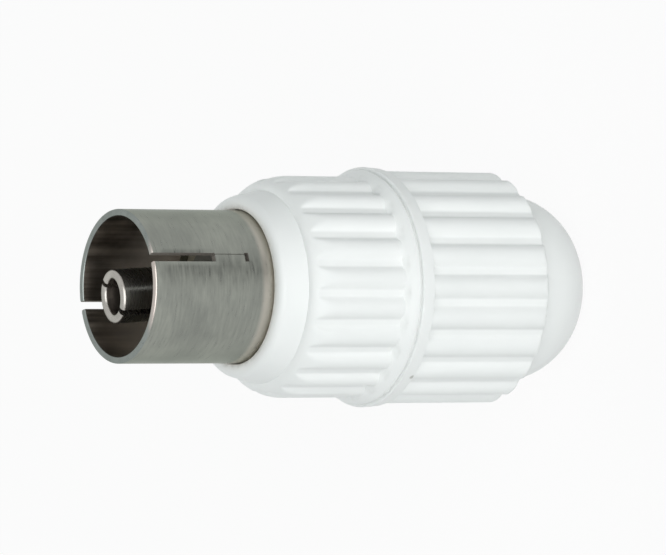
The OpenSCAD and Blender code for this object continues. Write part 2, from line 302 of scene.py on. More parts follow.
@dataclass(frozen=True)
class RubbedMetal(Finish):
    """A handled metal skin: satin, with fine marks along the rub and duller clouds between them."""

    colour: str = "#959890"
    shade: str = "#82857F"
    # Painted lighter tone, which stands for light, a highlight or a reflection
    painted_light_colour: str = "#B7B2A8"
    # Colour that the skin takes where it is seen at a glancing angle
    glance: str = "#DCE0DA"
    roughness: float = 0.32
    # How far the roughness strays below and above its middle, and the stretch of noise that does it
    spread: Pair = (0.08, 0.1)
    gloss_noise: Pair = (0.25, 0.75)
    # Width and length of the rub marks, and whether they run round the tube or along it
    mark_mm: Pair = (0.17, 1.3)
    round_marks: bool = True
    # Strength and depth of the marks' relief
    relief: float = 0.25
    relief_mm: float = 0.01
    # Size of the dull clouds, and the stretch of noise from the shade to the colour
    cloud_mm: float = 2.5
    wear_noise: Pair = (0.12, 0.4)
    # Way along which the skin fades from a painted lighter tone, standing for light, a highlight or a
    # reflection, to its own colour, and where, if it does
    painted_light_way: Place = (0.0, 0.0, 1.0)
    painted_light_mm: Pair | None = None
    painted_light_share: float = 0.85
    # Height below which the skin is matt and height above which it has its own gloss, if it changes
    matt_mm: Pair | None = None
    matt: float = 0.9

    def dress(self, add: AddNode, place: Node) -> dict[str, Any]:
        """Add rub marks, dull clouds and, where asked, a painted lighter stretch and a matt stretch.

        Args:
            add: Adds a node to the material.
            place: Place on the piece, in millimetres.

        Returns:
            What feeds the surface shader, by input.
        """
        across, along = (1 / size for size in self.mark_mm)
        stretch = (along, along, across) if self.round_marks else (across, across, along)
        drawn = add("VectorMath", (place, stretch), operation="MULTIPLY")
        marks = add("TexNoise", {"Vector": drawn, "Scale": 1.0, "Detail": 4.0, "Roughness": 0.6})
        cloud = add("TexNoise", {"Vector": place, "Scale": 1 / self.cloud_mm, "Detail": 3.0})
        worn = add("Math", (marks, cloud), operation="MULTIPLY")
        tone = add("MapRange", (worn, *self.wear_noise, 0.0, 1.0))
        colour = add("Mix", {0: tone, 6: linear(self.shade), 7: linear(self.colour)}, data_type="RGBA")
        # Painted light: the skin turns towards the lighter tone along one way
        if self.painted_light_mm:
            way = add("VectorMath", (place, self.painted_light_way), operation="DOT_PRODUCT")
            fade = (way, *self.painted_light_mm, self.painted_light_share, 0.0)
            painted_light_mask = add("MapRange", fade, interpolation_type="SMOOTHSTEP")
            colour = add("Mix", {0: painted_light_mask, 6: colour, 7: linear(self.painted_light_colour)}, data_type="RGBA")
        shiny, dull = self.roughness - self.spread[0], self.roughness + self.spread[1]
        rough = add("MapRange", (marks, *self.gloss_noise, shiny, dull))
        if self.matt_mm:
            height = add("SeparateXYZ", (place,)).outputs["Z"]
            deep = add("MapRange", (height, *self.matt_mm, self.matt, shiny))
            rough = add("Math", (rough, deep), operation="MAXIMUM")
        relief = {"Height": marks, "Strength": self.relief, "Distance": self.relief_mm * MM}
        return {
            "Base Color": colour,
            "Metallic": 1.0,
            "Roughness": rough,
            "Normal": add("Bump", relief),
            "Specular Tint": linear(self.glance),
        }


# Rolled and polished sleeve: satin grey with fine rub marks round it, and a painted reflection of the shell
# that makes it lighter next to the shell
SLEEVE_NICKEL = RubbedMetal("nickel_plate_polished_round", painted_light_mm=(26.3, 26.75))
# Inside of the sleeve: never polished, so it is brown with draw marks along it, and matt deep in; painted
# light makes it paler deep in, the more so towards -x
BORE_NICKEL = RubbedMetal(
    "nickel_plate_drawn_bore",
    "#A89F94",
    "#544D46",
    "#D6CEC4",
    roughness=0.34,
    mark_mm=(0.55, 14.0),
    round_marks=False,
    relief=0.7,
    painted_light_way=(0.45, 0.0, 1.0),
    painted_light_mm=(28.0, 34.5),
    matt_mm=(28.0, 35.0),
)
# Tumbled rim of the sleeve: dull grey, with a painted highlight that makes it lighter on its side towards -y
EDGE_NICKEL = RubbedMetal(
    "nickel_plate_tumbled_edge",
    "#8A908D",
    "#7A807D",
    "#BFB5AE",
    roughness=0.3,
    mark_mm=(0.1, 0.6),
    painted_light_way=(0.0, 1.0, 0.0),
    painted_light_mm=(-4.9, -3.9),
)
# Sawn walls of the spring slots: never polished, so they are matt and darker than the rim
SLOT_NICKEL = RubbedMetal("nickel_plate_sawn_slot", "#8E8A84", "#7C7872", roughness=0.8, mark_mm=(0.1, 0.6))
# Turned centre contact: smooth enough to mirror the dark bore, with faint tool marks round it, duller deep in
CONTACT_NICKEL = RubbedMetal(
    "nickel_plate_turned_contact",
    "#8C8D88",
    "#7F807B",
    roughness=0.27,
    spread=(0.02, 0.03),
    mark_mm=(0.3, 8.0),
    relief=0.01,
    matt_mm=(27.5, 31.5),
    matt=0.65,
)
# Drilled hole of the contact: the plating hardly reached in, so it looks dark and brown
PIN_BORE_NICKEL = RubbedMetal(
    "nickel_plate_drilled_hole", "#7E776F", "#5C5650", roughness=0.4, mark_mm=(0.2, 0.8)
)
# Faced end of the contact: turned bright, paler than the sleeve
RING_NICKEL = RubbedMetal(
    "nickel_plate_turned_face", "#B4B1AB", "#9E9B96", roughness=0.28, mark_mm=(0.1, 0.8)
)
# Barrel-plated screw: dull bluish grey, speckled by tumbling
SCREW_ZINC = RubbedMetal(
    "steel_zinc_plated_tumbled", "#A8ABAA", "#858A8B", roughness=0.36, mark_mm=(0.25, 0.6)
)
# Claw pressed from strip: warm yellow with brown tarnish that was never wiped off
CLAW_BRASS = RubbedMetal(
    "brass_strip_stamped", "#B08D4A", "#7C6230", glance="#C9B07A", roughness=0.36, mark_mm=(0.2, 1.6)
)
# Moulded shells: clean, slightly shiny white, with the few specks that the photograph shows
SHELL_ABS = MouldedPlastic(
    "abs_white_moulded",
    specks=((-6.1, -5.5, 14.95, 0.2), (-2.22, -7.27, 20.1, 0.11), (-1.9, -7.6, 5.35, 0.17)),
)
# Moulded bead: unpigmented, milky and dull; its greyish ivory is painted shade for its place deep in the
# sleeve
BEAD_POLYTHENE = MouldedPlastic("polythene_natural_moulded", "#B4AF9F", "#A39D8C", roughness=0.55)


class Row(NamedTuple):
    """One row of a turned section."""

    radius: float
    station: float
    ribbed: float = 0.0
    threaded: float = 0.0


@dataclass
class Section:
    """A closed section of a turned piece, drawn row by row."""

    rows: list[Row]

    def line(
        self, radius: float, station: float, steps: int = 1, ribbed: float = 0.0, threaded: float = 0.0
    ) -> None:
        """Draw a straight line to a new row.

        Args:
            radius: Where it ends, from the axis.
            station: Where it ends, from the mouth.
            steps: Number of rows along it.
            ribbed: How much its rows are cut by the ribs' grooves.
            threaded: How much its rows are cut by the thread.
        """
        last = self.rows[-1]
        across, along = radius - last.radius, station - last.station
        for share in np.linspace(0, 1, steps + 1)[1:]:
            reached = (last.radius + across * share, last.station + along * share)
            self.rows.append(Row(*reached, ribbed, threaded))

    def arc(self, centre: Pair, size: Pair, angles: Pair, steps: int, ribbed: float = 0.0) -> None:
        """Draw part of an ellipse, which takes over the last row where it starts there.

        Args:
            centre: Its radius and station.
            size: Its half axes across and along the turned axis.
            angles: Angles of its first and last row, in degrees.
            steps: Number of rows along it.
            ribbed: How much its rows are cut by the ribs' grooves.
        """
        rows = [
            Row(centre[0] + size[0] * math.cos(angle), centre[1] + size[1] * math.sin(angle), ribbed)
            for angle in np.radians(np.linspace(*angles, steps + 1))
        ]
        if math.dist(self.rows[-1][:2], rows[0][:2]) < SAME_ROW:
            self.rows.pop()
        self.rows += rows


@dataclass(frozen=True)
class RibRing:
    """Half-round ribs with flat-floored grooves round a grip."""

    crest: float
    height: float
    turn: float
    count: int = 22
    groove: float = 0.6
    # Rounding of the crests and of the groove floors
    softness: float = 0.03
    floor_softness: float = 0.07
    # Columns on each side of a groove's middle, in degrees
    columns: tuple[float, ...] = (0.9, 1.7, 2.2, 2.6, 3.1, 3.9, 5.2, 6.7)

    @property
    def floor(self) -> float:
        """Radius of the groove floors."""
        return self.crest - self.height

    @property
    def pitch(self) -> float:
        """Angle from one groove to the next, in degrees."""
        return 360 / self.count

    def turns(self) -> Array:
        """Give the columns of a mesh that follows the ribs.

        Returns:
            Directions in degrees, close together in the grooves.
        """
        steps = [0.0, *self.columns, self.pitch / 2, *(self.pitch - c for c in reversed(self.columns))]
        return np.array([self.turn + i * self.pitch + step for i in range(self.count) for step in steps])

    def radii(self, turns: Array) -> Array:
        """Give the ribs' own surface.

        Args:
            turns: Directions in degrees.

        Returns:
            Distance of the surface from the axis.
        """
        half = math.radians(self.pitch / 2) - self.groove / 2 / self.floor
        centre = (self.crest**2 - self.floor**2) / (2 * (self.crest - self.floor * math.cos(half)))
        off = np.radians((turns - self.turn) % self.pitch - self.pitch / 2)
        bow = np.sqrt(np.maximum((self.crest - centre) ** 2 - (centre * np.sin(off)) ** 2, 0))
        return smooth_max(centre * np.cos(off) + bow, self.floor, self.floor_softness)

    def depth(self, turns: Array) -> Array:
        """Give how deep a direction lies in a groove, from 0 on a crest to 1 on the floor."""
        return np.clip((self.crest - self.radii(turns)) / self.height, 0, 1)


@dataclass(frozen=True)
class ScrewThread:
    """Rounded right-hand thread."""

    # Stations between which it runs
    ends: Pair
    # What its grooves add to a radius: less than nothing on a spigot
    depth: float
    pitch: float = 1.25
    crest_share: float = 0.35
    # Distance over which it comes to its full depth at either end
    lead_in: float = 0.8

    def cut(self, stations: Array, turns: Array) -> Array:
        """Give what the thread adds to the radius at each place.

        Args:
            stations: Distances from the mouth.
            turns: Directions in degrees.

        Returns:
            Lengths in millimetres, 0 on the crest.
        """
        lead = np.minimum(stations - self.ends[0], self.ends[1] - stations)
        phase = (OVERALL_LENGTH - stations) / self.pitch + turns / 360
        wave = 0.5 - 0.5 * np.cos(2 * np.pi * phase)
        rise = np.clip((wave - self.crest_share / 2) / (1 - self.crest_share), 0, 1)
        return np.clip(lead / self.lead_in, 0, 1) * self.depth * rise * rise * (3 - 2 * rise)


class DirtAndShade(NamedTuple):
    """Dirt and painted shade along a corner that runs round a shell."""

    # Its share in the corner, and the distance over which that falls to about a third
    share: float
    width: float
    # Station of the corner, and the radius outside which the dirt and painted shade lie
    corner: float
    limit: float = 0.0
    # Whether it lies only in the ribs' grooves
    grooved: bool = False
    # Whether the corner is given by its radius, and the limit is the station before which the dirt and
    # painted shade lie
    across: bool = False

    def cover(self, radii: Array, stations: Array, depths: Array) -> Array:
        """Give the share of dirt and painted shade at each vertex.

        Args:
            radii: Distances from the axis.
            stations: Distances from the mouth.
            depths: How deep each direction lies in a groove.

        Returns:
            The shares.
        """
        spread, near = (radii, stations < self.limit) if self.across else (stations, radii > self.limit)
        share = self.share * np.exp(-(((spread - self.corner) / self.width) ** 2)) * near
        return share * depths**2 if self.grooved else share


def wrap(rows: int, columns: int) -> Array:
    """List the faces of a grid that closes on itself both ways.

    Args:
        rows: Number of rows.
        columns: Number of columns.

    Returns:
        The four vertex numbers of each face, by row and column.
    """
    number = np.arange(rows * columns).reshape(rows, columns)
    ahead = np.roll(number, -1, 0)
    return np.stack([number, ahead, np.roll(ahead, -1, 1), np.roll(number, -1, 1)], -1)


@dataclass
class MouldedShell:
    """A turned moulding with ribs and a thread."""

    name: str
    node: str
    slot: str
    body: Body
    ribs: RibRing
    thread: ScrewThread
    # Number of mesh rows along the thread
    thread_rows: int
    # Dirt and painted shade in the shell's corners
    dirt_and_shade: tuple[DirtAndShade, ...]
    finish: Finish = SHELL_ABS
    edge: float = 0.1
    seam_round: float = 0.12

    def section(self) -> Section:
        """Draw the closed section."""
        raise NotImplementedError

    def build(self) -> Object:
        """Build and dress the shell.

        Returns:
            The piece, riding on its body.
        """
        plain, stations, ribbed, threaded = np.split(np.array(self.section().rows), 4, 1)
        turns = self.ribs.turns()[None, :]
        grooved = smooth_min(plain, self.ribs.radii(turns), self.ribs.softness)
        radii = plain + ribbed * (grooved - plain) + threaded * self.thread.cut(stations, turns)
        faces = wrap(*radii.shape).reshape(-1, 4).tolist()
        piece = make_piece(self.name, to_frame(radii, stations, turns), faces)
        depths = self.ribs.depth(turns)
        # Dirt and painted shade in the corners, kept as a share at each vertex
        share = sum(dirt_and_shade.cover(radii, stations, depths) for dirt_and_shade in self.dirt_and_shade)
        corner_shade_and_dirt = piece.data.attributes.new(CORNER_SHADE_AND_DIRT, "FLOAT", "POINT")
        corner_shade_and_dirt.data.foreach_set("value", np.clip(share, 0, 1).astype(np.float32).ravel())
        piece.data.materials.append(self.finish.make())
        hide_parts(self.node)
        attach(piece, self.body.value)
        return piece


@dataclass
class FrontShell(MouldedShell):
    """Front moulding: nose, ribbed grip, collar and threaded spigot."""

    name: str = "shell_front"
    node: str = "front_shell"
    slot: str = "white_plastic"
    body: Body = Body.SOCKET
    ribs: RibRing = RibRing(crest=7.6, height=0.42, turn=93.1)
    thread: ScrewThread = ScrewThread(ends=(19.4, 25.6), depth=-0.4)
    thread_rows: int = 77
    # Dirt and painted shade at the sleeve, in the groove ends and at the seam
    dirt_and_shade: tuple[DirtAndShade, ...] = (
        DirtAndShade(share=0.45, width=0.2, corner=5.26, limit=9.6, across=True),
        DirtAndShade(share=0.15, width=0.12, corner=18.35, grooved=True),
        DirtAndShade(share=0.06, width=0.1, corner=19.1, limit=7.75),
    )
    bore: float = 5.26
    nose_at: float = 9.1
    nose: float = 6.25
    nose_round: float = 0.6
    valley: float = 6.6
    valley_at: float = 11.05
    shoulder: float = 2.1
    collar_at: float = 18.2
    groove_end_at: float = 18.4
    groove_wall: float = 0.22
    slope_end_at: float = 18.85
    rim: float = 8.05
    face_at: float = 19.1
    # The cap is screwed home: its rim all but meets a land on the collar's face
    seam_land: float = 0.045
    land_draft: float = 0.01
    spigot: float = 6.51
    spigot_end_at: float = 25.6
    flange_bore: float = 5.76
    flange_at: float = 12.5

    def section(self) -> Section:
        """Draw the closed section from the nose back to the nose.

        Returns:
            Its rows.
        """
        crest = self.ribs.crest
        slope = (self.rim - crest) / (self.slope_end_at - self.collar_at)
        before, after = self.groove_end_at - self.groove_wall, self.groove_end_at
        land_at = self.face_at + self.seam_land
        nose_middle = (self.nose - self.nose_round, self.nose_at + self.nose_round)
        shoulder_middle = (self.valley, self.valley_at + self.shoulder)
        rim_middle = (self.rim - self.seam_round, self.face_at - self.seam_round)
        drawn = Section([Row(self.bore + self.edge, self.nose_at)])
        drawn.arc(nose_middle, (self.nose_round, self.nose_round), (-90, 0), 8)
        drawn.line(self.valley, self.valley_at, 8)
        drawn.arc(shoulder_middle, (crest - self.valley, self.shoulder), (-90, 0), 26, 1.0)
        drawn.line(crest, self.collar_at, 10, 1.0)
        drawn.line(crest + slope * (before - self.collar_at), before, 3, 1.0)
        drawn.line(crest + slope * (after - self.collar_at), after)
        drawn.line(self.rim, self.slope_end_at, 5)
        drawn.arc(rim_middle, (self.seam_round, self.seam_round), (0, 60), 6)
        drawn.line(drawn.rows[-1].radius - self.land_draft, land_at)
        drawn.line(self.spigot, land_at, 3)
        drawn.line(self.spigot, self.spigot_end_at - self.edge, self.thread_rows, threaded=1.0)
        drawn.line(self.spigot - self.edge, self.spigot_end_at)
        drawn.line(self.flange_bore, self.spigot_end_at)
        drawn.line(self.flange_bore, self.flange_at, 4)
        drawn.line(self.bore, self.flange_at)
        drawn.line(self.bore, self.nose_at + self.edge, 3)
        return drawn


@dataclass
class RearCap(MouldedShell):
    """Rear moulding: rim, ribbed grip, dome, cable hole, seat for the claw and threaded bore."""

    name: str = "cap_rear"
    node: str = "rear_cap"
    slot: str = "cap_plastic"
    body: Body = Body.CAP
    ribs: RibRing = RibRing(crest=8.05, height=0.5, turn=97.6)
    thread: ScrewThread = ScrewThread(ends=(19.15, 25.95), depth=0.4)
    thread_rows: int = 83
    # Dirt and painted shade at the seam, in the groove starts and behind the ribs
    dirt_and_shade: tuple[DirtAndShade, ...] = (
        DirtAndShade(share=0.06, width=0.1, corner=19.15, limit=7.95),
        DirtAndShade(share=0.2, width=0.12, corner=20.15, grooved=True),
        DirtAndShade(share=0.2, width=0.12, corner=29.7, limit=6.4),
    )
    rim: float = 8.25
    rim_at: float = 19.15
    groove_at: float = 20.1
    groove_wall: float = 0.04
    taper_end_at: float = 21.75
    rib_end_at: float = 29.65
    rib_round: float = 0.6
    dome: float = 6.5
    dome_fillet: float = 0.2
    dome_at: float = 30.5
    dome_round: float = 5.1
    dome_length: float = 4.4
    hole: float = 3.4
    hole_at: float = 32.3
    seat_end: float = 3.91
    seat: float = 5.57
    seat_at: float = 28.02
    bore: float = 6.59
    bore_floor_at: float = 26.15

    def section(self) -> Section:
        """Draw the closed section from the rim back to the rim.

        Returns:
            Its rows.
        """
        crest = self.ribs.crest
        round_end = self.rim_at + self.seam_round
        slope = (crest - self.rim) / (self.taper_end_at - round_end)
        before, after = self.groove_at - self.groove_wall, self.groove_at + self.groove_wall
        rib_middle = (crest - self.rib_round, self.rib_end_at - self.rib_round)
        fillet_middle = (self.dome + self.dome_fillet, self.rib_end_at + self.dome_fillet)
        dome_middle = (self.dome - self.dome_round, self.dome_at)
        dome_end = math.degrees(math.asin(self.dome_length / self.dome_round))
        drawn = Section([Row(self.bore + self.edge, self.rim_at)])
        drawn.line(self.rim - 2 * self.seam_round, self.rim_at, 3)
        drawn.arc((self.rim - self.seam_round, round_end), (self.seam_round, self.seam_round), (-90, 0), 8)
        drawn.line(self.rim + slope * (before - round_end), before, 5)
        drawn.line(self.rim + slope * (after - round_end), after, 1, 1.0)
        drawn.line(crest, self.taper_end_at, 5, 1.0)
        drawn.line(crest, self.rib_end_at - self.rib_round, 10, 1.0)
        drawn.arc(rib_middle, (self.rib_round, self.rib_round), (0, 90), 10, 1.0)
        drawn.line(self.dome + self.dome_fillet, self.rib_end_at, 8, 1.0)
        drawn.arc(fillet_middle, (self.dome_fillet, self.dome_fillet), (-90, -180), 5)
        drawn.line(self.dome, self.dome_at, 2)
        drawn.arc(dome_middle, (self.dome_round, self.dome_round), (0, dome_end), 30)
        drawn.line(self.hole + self.edge, OVERALL_LENGTH, 3)
        drawn.line(self.hole, OVERALL_LENGTH - self.edge, 2)
        drawn.line(self.hole, self.hole_at, 4)
        drawn.line(self.seat_end, self.hole_at)
        drawn.line(self.seat, self.seat_at, 6)
        drawn.line(self.seat, self.bore_floor_at, 2)
        drawn.line(self.bore, self.bore_floor_at, 2)
        drawn.line(self.bore, self.rim_at + self.edge, self.thread_rows, threaded=1.0)
        return drawn


class TubeSide(Enum):
    """The material slots of a slotted tube."""

    OUTSIDE = 0
    BORE = 1
    EDGE = 2
    SLOT = 3


class Gap(NamedTuple):
    """An opening in the wall of a tube."""

    turn: float
    width: float
    start: float
    end: float
    aside: float = 0.0
    # How far its outer edges are worn down
    ease: float = 0.0


class WallRow(NamedTuple):
    """Outer and inner radius of a tube's wall at a station."""

    station: float
    outer: float
    inner: float


@dataclass
class SlottedTube:
    """A turned tube with gaps in the first stretch of its wall."""

    name: str
    wall: list[WallRow]
    # Rest of the section, as radius and station, from the outside round the far end to the bore
    rest: list[Pair]
    gaps: list[Gap]
    columns: int
    # Finishes of the sides, in the order of TubeSide
    finishes: tuple[Finish, ...]

    def turns(self) -> tuple[Array, list[Pair]]:
        """Place the mesh columns so that each gap has one on either side.

        Returns:
            The columns in degrees, and the first and last direction of each gap.
        """
        middle = (self.wall[0].outer + self.wall[0].inner) / 2
        spans = []
        for gap in self.gaps:
            low = math.degrees(math.asin((gap.aside - gap.width / 2) / middle))
            high = math.degrees(math.asin((gap.aside + gap.width / 2) / middle))
            spans.append((gap.turn + low, gap.turn + high))
        edges = np.array([edge % 360 for span in spans for edge in span])
        pitch = 360 / self.columns
        even = np.arange(self.columns) * pitch
        apart = np.abs(swing(even[:, None], edges[None, :])).min(1)
        kept = np.concatenate([even[apart > pitch / 4], edges])
        return np.unique(np.round(kept, 6)), spans

    def build(self) -> Object:
        """Build the tube with its gaps, and give each side its finish.

        Returns:
            The piece, not yet riding on a body.
        """
        turns, spans = self.turns()
        outside = [(w.outer, w.station) for w in self.wall]
        inside = [(w.inner, w.station) for w in reversed(self.wall)]
        radii, stations = np.split(np.array(outside + self.rest + inside), 2, 1)
        rows, depth, across = len(radii), len(self.wall) - 1, len(turns)
        wall_at = stations[: depth + 1, 0]
        heights = (wall_at[1:] + wall_at[:-1]) / 2
        middles = (turns + ((np.roll(turns, -1) - turns) % 360) / 2) % 360
        gone = np.zeros((depth, across), bool)
        worn = np.zeros((rows, across))
        for gap, (first, last) in zip(self.gaps, spans):
            between = ((middles - first) % 360) < (last - first)
            gone |= ((heights > gap.start) & (heights < gap.end))[:, None] & between[None, :]
            along = (wall_at >= gap.start) & (wall_at < gap.end)
            beside = np.minimum(np.abs(swing(turns, first)), np.abs(swing(turns, last))) < SAME_TURN
            worn[: depth + 1][np.ix_(along, beside)] = gap.ease
        points = to_frame(radii - worn, stations, turns[None, :])
        # The last row of faces closes the rim, and the bore's rows come before it, deepest first
        rim = rows - 1
        kept = np.ones((rows, across), bool)
        kept[:depth] = ~gone
        kept[rim - depth : rim] = ~gone[::-1]
        kept[rim] = ~gone[0]
        sides = np.full((rows, across), TubeSide.OUTSIDE.value)
        sides[rim - depth :] = TubeSide.BORE.value
        sides[:RIM_CELLS] = TubeSide.EDGE.value
        sides[rim - RIM_CELLS :] = TubeSide.EDGE.value
        faces = wrap(rows, across)[kept].tolist()
        walls = self.cut_walls(rows, gone)
        slots = sides[kept].tolist() + [TubeSide.SLOT.value] * len(walls)
        piece = make_piece(self.name, points, faces + walls, slots)
        for finish in self.finishes:
            piece.data.materials.append(finish.make())
        return piece

    def cut_walls(self, rows: int, gone: Array) -> Faces:
        """List the faces through the wall round each gap.

        Args:
            rows: Number of rows of the section.
            gone: Which cells along and round the wall are open.

        Returns:
            The faces.
        """
        depth, across = gone.shape

        def through(*edge: tuple[int, int]) -> tuple[int, ...]:
            """List the corners of a face from the outside to the bore, along one edge of a cell."""
            outer = [row * across + column % across for row, column in edge]
            return (*outer, *((rows - 1 - row) * across + column % across for row, column in reversed(edge)))

        walls = []
        for row, column in zip(*(index.tolist() for index in np.nonzero(gone))):
            if row and not gone[row - 1, column]:
                walls.append(through((row, column), (row, column + 1)))
            if row + 1 == depth or not gone[row + 1, column]:
                walls.append(through((row + 1, column), (row + 1, column + 1)))
            for edge, beside in ((column, column - 1), (column + 1, column + 1)):
                if not gone[row, beside % across]:
                    walls.append(through((row, edge), (row + 1, edge)))
        return walls


@dataclass(frozen=True)
class ContactLie:
    """How the loose contact leans in its bead, and where its terminal screw sits."""

    angle: float = 6.0
    turn: float = 230.0
    pivot_at: float = 10.5
    screw_at: float = 16.4
    screw_turn: float = 50.0

    def matrix(self) -> Matrix:
        """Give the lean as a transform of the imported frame.

        Returns:
            The transform.
        """
        pivot = Vector((0, 0, (OVERALL_LENGTH - self.pivot_at) * MM))
        axis = Vector((0, 0, 1)).cross(to_way(self.turn))
        turn = Matrix.Rotation(math.radians(self.angle), 4, axis)
        return Matrix.Translation(pivot) @ turn @ Matrix.Translation(-pivot)

    def screw_axis(self) -> Matrix:
        """Give the transform that lays +Z out along the terminal screw."""
        start = Matrix.Translation((0, 0, (OVERALL_LENGTH - self.screw_at) * MM))
        return self.matrix() @ start @ to_way(self.screw_turn).to_track_quat("Z", "Y").to_matrix().to_4x4()


def drill(piece: Object, lie: ContactLie, radius: float, reach: float = 7.0, sides: int = 48) -> None:
    """Drill a hole out from the contact's axis along the terminal screw.

    Args:
        piece: Piece that gets the hole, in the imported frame.
        lie: How the contact lies.
        radius: Radius of the hole.
        reach: How far the drill goes.
        sides: Number of sides of the drill.
    """
    mesh = bpy.data.meshes.new("drill")
    work = bmesh.new()
    bmesh.ops.create_cone(
        work, cap_ends=True, segments=sides, radius1=radius * MM, radius2=radius * MM, depth=reach * MM
    )
    work.to_mesh(mesh)
    work.free()
    mesh.transform(lie.screw_axis() @ Matrix.Translation((0, 0, reach * MM / 2)))
    tool = bpy.data.objects.new("drill", mesh)
    bpy.context.scene.collection.objects.link(tool)
    cut = piece.modifiers.new("hole", "BOOLEAN")
    cut.operation, cut.solver, cut.object = "DIFFERENCE", "EXACT", tool
    drilled = bpy.data.meshes.new_from_object(piece.evaluated_get(bpy.context.evaluated_depsgraph_get()))
    piece.modifiers.clear()
    piece.data = drilled
    drilled.set_sharp_from_angle(angle=CRISP_ANGLE)
    bpy.data.objects.remove(tool)


def round_rim(outer: float, inner: float, rounding: float) -> list[WallRow]:
    """Draw the rounded end of a tube's wall, which lies at the mouth.

    Args:
        outer: Outer radius behind the rounding.
        inner: Inner radius behind the rounding.
        rounding: Radius of the rounding.

    Returns:
        The wall's rows from the end to the full wall.
    """
    rows = []
    for angle in np.radians(np.linspace(0, 90, RIM_CELLS + 1)):
        short = rounding * (1 - math.sin(angle))
        rows.append(WallRow(rounding * (1 - math.cos(angle)), outer - short, inner + short))
    return rows


@dataclass
class OuterContact:
    """Rolled sleeve with spring slots, seam, flange and skirt."""

    bore: float = 4.75
    sleeve: float = 5.2
    edge: float = 0.1
    slot_width: float = 0.6
    # Length of the spring slots as the photograph shows it, and wear of their outer edges
    slot_length: float = 4.8
    slot_ease: float = 0.05
    seam_turn: float = 67.4
    plain_turn: float = 254.4
    # The rolled joint is all but closed, and its middle lies to one side of the slot's
    seam_width: float = 0.045
    seam_aside: float = -0.2
    notch_at: float = 7.1
    seam_end_at: float = 7.4
    step_at: float = 10.0
    skirt_bore: float = 4.9
    flange: float = 5.7
    flange_at: float = 12.5
    flange_end_at: float = 13.3
    skirt_end_at: float = 23.1
    window: float = 2.2
    # Further mesh rows along the wall, and columns round it
    rows_at: tuple[float, ...] = (1.2, 2.4, 3.5, 5.4, 6.3)
    columns: int = 192
    lie: ContactLie = ContactLie()
    finishes: tuple[Finish, ...] = (SLEEVE_NICKEL, BORE_NICKEL, EDGE_NICKEL, SLOT_NICKEL)

    def build(self) -> Object:
        """Build and dress the sleeve.

        Returns:
            The piece, riding on the socket.
        """
        ends_at = (self.slot_length - self.edge, self.slot_length, self.notch_at, self.seam_end_at)
        wall = round_rim(self.sleeve, self.bore, self.edge)
        wall += [WallRow(stop, self.sleeve, self.bore) for stop in sorted(self.rows_at + ends_at)]
        rest = [
            (self.sleeve, self.flange_at),
            (self.flange, self.flange_at),
            (self.flange, self.flange_end_at),
            (self.sleeve, self.flange_end_at),
            (self.sleeve, self.skirt_end_at),
            (self.skirt_bore, self.skirt_end_at),
            (self.skirt_bore, self.step_at),
            (self.bore, self.step_at),
        ]
        gaps = [
            Gap(self.seam_turn, self.slot_width, 0.0, self.slot_length, ease=self.slot_ease),
            Gap(self.plain_turn, self.slot_width, 0.0, self.slot_length, ease=self.slot_ease),
            Gap(self.seam_turn, self.seam_width, self.slot_length, self.notch_at, self.seam_aside),
            Gap(self.seam_turn, self.slot_width, self.notch_at, self.seam_end_at),
        ]
        piece = SlottedTube("sleeve_rolled", wall, rest, gaps, self.columns, self.finishes).build()
        drill(piece, self.lie, self.window)
        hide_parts("outer_contact")
        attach(piece, Body.SOCKET.value)
        return piece


@dataclass
class CentreContact:
    """Split tube with a collar, a shank and a wire hole, lying loose in its bead."""

    outer: float = 1.825
    bore: float = 1.2
    edge: float = 0.22
    slot_width: float = 0.35
    slot_end_at: float = 6.0
    slot_turn: float = 127.0
    collar: float = 2.7
    collar_at: float = 7.118
    collar_end_at: float = 7.668
    bore_end_at: float = 8.3
    end_at: float = 18.9
    wire_hole: float = 0.6
    wire_hole_at: float = 13.9
    tapped_hole: float = 1.02
    # Further mesh rows along the wall, and columns round it
    rows_at: tuple[float, ...] = (2.0, 4.0)
    columns: int = 96
    lie: ContactLie = ContactLie()
    finishes: tuple[Finish, ...] = (CONTACT_NICKEL, PIN_BORE_NICKEL, RING_NICKEL, RING_NICKEL)

    def build(self) -> Object:
        """Build and dress the contact.

        Returns:
            The piece, riding on the socket.
        """
        wall = round_rim(self.outer, self.bore, self.edge)
        wall += [WallRow(stop, self.outer, self.bore) for stop in (*self.rows_at, self.slot_end_at)]
        rest = [
            (self.outer, self.collar_at),
            (self.collar, self.collar_at),
            (self.collar, self.collar_end_at),
            (self.outer, self.collar_end_at),
            (self.outer, self.end_at - self.edge),
            (self.outer - self.edge, self.end_at),
            (self.wire_hole, self.end_at),
            (self.wire_hole, self.wire_hole_at),
            (0.0, self.wire_hole_at),
            (0.0, self.bore_end_at),
            (self.bore, self.bore_end_at),
        ]
        gaps = [Gap(self.slot_turn + half, self.slot_width, 0.0, self.slot_end_at) for half in (0, 180)]
        piece = SlottedTube("contact_split", wall, rest, gaps, self.columns, self.finishes).build()
        piece.data.transform(self.lie.matrix())
        drill(piece, self.lie, self.tapped_hole)
        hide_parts("centre_contact")
        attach(piece, Body.SOCKET.value)
        return piece


@dataclass(frozen=True)
class PackedPiece:
    """A piece that keeps the form of the part's source and gets its finish here."""

    node: str
    finish: Finish

    def build(self) -> Object:
        """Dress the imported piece.

        Returns:
            The piece, which rides on its body already.
        """
        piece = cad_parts[self.node]
        piece.data.materials.clear()
        piece.data.materials.append(self.finish.make())
        return piece


